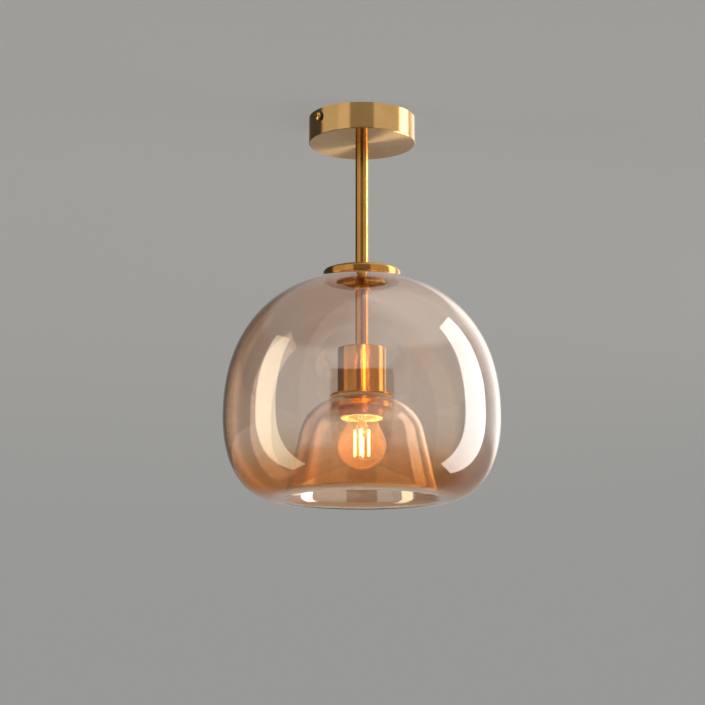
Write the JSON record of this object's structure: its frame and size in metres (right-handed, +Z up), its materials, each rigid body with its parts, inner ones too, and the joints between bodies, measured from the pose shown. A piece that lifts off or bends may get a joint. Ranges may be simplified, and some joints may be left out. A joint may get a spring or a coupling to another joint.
{
  "type": "semi flush ceiling light",
  "caption": "Semi flush ceiling light: round canopy and rod in brushed brass, a double-walled amber glass shade clamped round a screw lampholder with a filament style bulb.",
  "frame": {"origin": "on the ceiling plane, at the centre of the mounting bracket's upper face", "axes": "+Z up into the ceiling along the lamp's axis, +X along the bracket and the side screws"},
  "size_m": [0.2558, 0.2558, 0.363],
  "materials": {
    "brushed_brass": "circular and lengthwise brushed, clear lacquer",
    "polished_brass": "turned and polished",
    "bare_brass": "drawn, bare",
    "zinc_steel": "zinc plated",
    "tinned_copper": "tinned",
    "solder": "cast solder dome",
    "bulb_cap_metal": "drawn and nickel plated",
    "support_wire": "drawn wire",
    "amber_glass": "blown, thin metallic film",
    "clear_glass": "blown, clear",
    "black_glass": "pressed, opaque",
    "silicone": "moulded, translucent",
    "black_nylon": "moulded, matt",
    "white_polyamide": "moulded, matt",
    "moulded_phenolic": "moulded, ivory",
    "porcelain": "fired, unglazed",
    "led_phosphor": "phosphor coating",
    "brown_insulation": "extruded",
    "blue_insulation": "extruded",
    "green_yellow_insulation": "extruded, striped"
  },
  "bodies": {
    "root": {"mounting_bracket": "zinc_steel", "ear_nuts": "zinc_steel", "terminal_block": "white_polyamide", "terminal_tubes": "bare_brass", "terminal_screws": "zinc_steel", "block_screw": "zinc_steel", "earth_screw": "zinc_steel", "earth_ring_terminal": "tinned_copper", "canopy": "brushed_brass", "upper_nipple": "zinc_steel", "upper_star_washer": "zinc_steel", "upper_locknut": "zinc_steel", "rod": "brushed_brass", "stop_collar": "polished_brass", "collar_grub_screw": "zinc_steel", "socket_cup": "brushed_brass", "lower_nipple": "zinc_steel", "lower_star_washer": "zinc_steel", "lower_locknut": "zinc_steel", "holder_top": "moulded_phenolic", "holder_body": "moulded_phenolic", "contact_carrier": "porcelain", "holder_posts": "bare_brass", "screw_shell": "bare_brass", "centre_contact": "bare_brass", "live_wire": "brown_insulation", "neutral_wire": "blue_insulation", "earth_wire": "green_yellow_insulation"},
    "right_washer": {"right_screw_washer": "black_nylon"},
    "right_screw": {"right_side_screw": "polished_brass"},
    "left_washer": {"left_screw_washer": "black_nylon"},
    "left_screw": {"left_side_screw": "polished_brass"},
    "shade": {"glass_shade": "amber_glass", "shade_gasket": "silicone", "ring_gasket": "silicone"},
    "ring": {"shade_ring": "polished_brass"},
    "cap": {"shade_cap": "brushed_brass"},
    "bulb_end": {"bulb_contact": "solder", "bulb_insulator": "black_glass"},
    "bulb": {"bulb_screw_cap": "bulb_cap_metal", "bulb_glass": "clear_glass", "bulb_stem": "clear_glass", "led_filaments": "led_phosphor", "filament_supports": "support_wire"}
  },
  "joints": [
    {"name": "right_screw_travel", "type": "slide", "parent": "root", "child": "right_washer", "axis": [1, 0, 0], "range_m": [0, 0.0056]},
    {"name": "right_screw_turn", "type": "hinge", "parent": "right_washer", "child": "right_screw", "pos_m": [0.05, 0, -0.008], "axis": [1, 0, 0], "range_deg": [0, 2880]},
    {"name": "left_screw_travel", "type": "slide", "parent": "root", "child": "left_washer", "axis": [-1, 0, 0], "range_m": [0, 0.0056]},
    {"name": "left_screw_turn", "type": "hinge", "parent": "left_washer", "child": "left_screw", "pos_m": [-0.05, 0, -0.008], "axis": [-1, 0, 0], "range_deg": [0, 2880]},
    {"name": "shade_lower", "type": "slide", "parent": "root", "child": "shade", "axis": [0, 0, -1], "range_m": [0, 0.008]},
    {"name": "ring_turn", "type": "hinge", "parent": "shade", "child": "ring", "pos_m": [0, 0, -0.28], "axis": [0, 0, -1], "range_deg": [0, 1440]},
    {"name": "cap_lift", "type": "slide", "parent": "shade", "child": "cap", "axis": [0, 0, 1], "range_m": [0, 0.11]},
    {"name": "bulb_travel", "type": "slide", "parent": "root", "child": "bulb_end", "axis": [0, 0, -1], "range_m": [0, 0.018]},
    {"name": "bulb_turn", "type": "hinge", "parent": "bulb_end", "child": "bulb", "pos_m": [0, 0, -0.28], "axis": [0, 0, -1], "range_deg": [0, 1785.62]}
  ],
  "couplings": [
    {"joint": "right_screw_turn", "follows": "right_screw_travel", "rad_per_m": 8976},
    {"joint": "left_screw_turn", "follows": "left_screw_travel", "rad_per_m": 8976},
    {"joint": "ring_turn", "follows": "shade_lower", "rad_per_m": 3141.6},
    {"joint": "bulb_turn", "follows": "bulb_travel", "rad_per_m": 1731.4}
  ]
}
